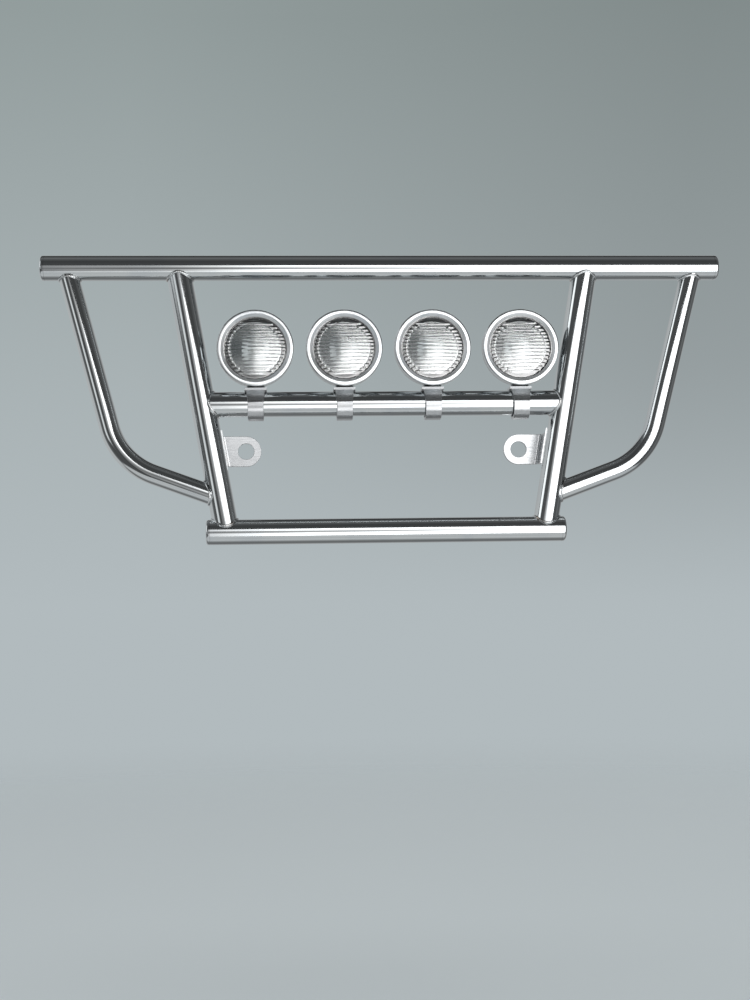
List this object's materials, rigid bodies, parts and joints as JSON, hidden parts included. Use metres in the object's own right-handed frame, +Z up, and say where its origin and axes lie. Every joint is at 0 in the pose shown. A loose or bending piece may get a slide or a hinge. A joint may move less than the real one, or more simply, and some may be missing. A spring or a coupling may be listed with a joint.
{
  "type": "front grille guard",
  "caption": "Welded stainless tube front grille guard for a 1:14 scale truck, with bent side tubes, rear tabs and a bar of round tilting and turning spot lamps.",
  "frame": {"origin": "midway between the two bracket holes, on the rear face of the bracket tabs, where they lie against the truck", "axes": "+Z up, +Y back towards the truck along the bolt holes, +X to the right as seen from in front of the truck"},
  "size_m": [0.1368, 0.0125, 0.0581],
  "materials": {
    "polished_steel": "mirror-polished stainless steel",
    "weld_bead": "ground and polished weld, slightly darker",
    "bracket_steel": "fine satin stainless sheet",
    "clip_steel": "satin stainless strap",
    "screw_steel": "plain steel screw",
    "lens_glass": "clear ribbed lens",
    "reflector_mirror": "bright vacuum-metallised bowl",
    "led_emitter": "clear epoxy over a pale chip"
  },
  "bodies": {
    "guard_frame": {"top_tube": "polished_steel", "top_cap_left": "polished_steel", "top_cap_right": "polished_steel", "bottom_tube": "polished_steel", "bottom_cap_left": "polished_steel", "bottom_cap_right": "polished_steel", "upright_left": "polished_steel", "upright_right": "polished_steel", "lamp_bar": "polished_steel", "side_tube_left": "polished_steel", "side_tube_right": "polished_steel", "bracket_left": "bracket_steel", "bracket_right": "bracket_steel", "weld_left_upright_top": "weld_bead", "weld_left_upright_bottom": "weld_bead", "weld_left_lamp_bar": "weld_bead", "weld_left_side_top": "weld_bead", "weld_left_side_foot": "weld_bead", "weld_left_bracket": "weld_bead", "weld_right_upright_top": "weld_bead", "weld_right_upright_bottom": "weld_bead", "weld_right_lamp_bar": "weld_bead", "weld_right_side_top": "weld_bead", "weld_right_side_foot": "weld_bead", "weld_right_bracket": "weld_bead"},
    "lamp_1_clip_body": {"lamp_1_clip": "clip_steel"},
    "lamp_1_head": {"lamp_1_pivot_screw": "screw_steel", "lamp_1_housing": "polished_steel", "lamp_1_bezel": "polished_steel", "lamp_1_lens": "lens_glass", "lamp_1_reflector": "reflector_mirror", "lamp_1_led": "led_emitter"},
    "lamp_2_clip_body": {"lamp_2_clip": "clip_steel"},
    "lamp_2_head": {"lamp_2_pivot_screw": "screw_steel", "lamp_2_housing": "polished_steel", "lamp_2_bezel": "polished_steel", "lamp_2_lens": "lens_glass", "lamp_2_reflector": "reflector_mirror", "lamp_2_led": "led_emitter"},
    "lamp_3_clip_body": {"lamp_3_clip": "clip_steel"},
    "lamp_3_head": {"lamp_3_pivot_screw": "screw_steel", "lamp_3_housing": "polished_steel", "lamp_3_bezel": "polished_steel", "lamp_3_lens": "lens_glass", "lamp_3_reflector": "reflector_mirror", "lamp_3_led": "led_emitter"},
    "lamp_4_clip_body": {"lamp_4_clip": "clip_steel"},
    "lamp_4_head": {"lamp_4_pivot_screw": "screw_steel", "lamp_4_housing": "polished_steel", "lamp_4_bezel": "polished_steel", "lamp_4_lens": "lens_glass", "lamp_4_reflector": "reflector_mirror", "lamp_4_led": "led_emitter"}
  },
  "joints": [
    {"name": "lamp_1_tilt", "type": "hinge", "parent": "guard_frame", "child": "lamp_1_clip_body", "pos_m": [-0.02585, -0.009, 0.0086], "axis": [1, 0, 0], "range_deg": [-15, 30]},
    {"name": "lamp_1_pan", "type": "hinge", "parent": "lamp_1_clip_body", "child": "lamp_1_head", "pos_m": [-0.02585, -0.009, 0.01171], "axis": [0, 0, 1], "range_deg": [-15, 15]},
    {"name": "lamp_2_tilt", "type": "hinge", "parent": "guard_frame", "child": "lamp_2_clip_body", "pos_m": [-0.00815, -0.009, 0.0086], "axis": [1, 0, 0], "range_deg": [-15, 30]},
    {"name": "lamp_2_pan", "type": "hinge", "parent": "lamp_2_clip_body", "child": "lamp_2_head", "pos_m": [-0.00815, -0.009, 0.01171], "axis": [0, 0, 1], "range_deg": [-15, 15]},
    {"name": "lamp_3_tilt", "type": "hinge", "parent": "guard_frame", "child": "lamp_3_clip_body", "pos_m": [0.00955, -0.009, 0.0086], "axis": [1, 0, 0], "range_deg": [-15, 30]},
    {"name": "lamp_3_pan", "type": "hinge", "parent": "lamp_3_clip_body", "child": "lamp_3_head", "pos_m": [0.00955, -0.009, 0.01171], "axis": [0, 0, 1], "range_deg": [-15, 15]},
    {"name": "lamp_4_tilt", "type": "hinge", "parent": "guard_frame", "child": "lamp_4_clip_body", "pos_m": [0.02725, -0.009, 0.0086], "axis": [1, 0, 0], "range_deg": [-15, 30]},
    {"name": "lamp_4_pan", "type": "hinge", "parent": "lamp_4_clip_body", "child": "lamp_4_head", "pos_m": [0.02725, -0.009, 0.01171], "axis": [0, 0, 1], "range_deg": [-15, 15]}
  ]
}
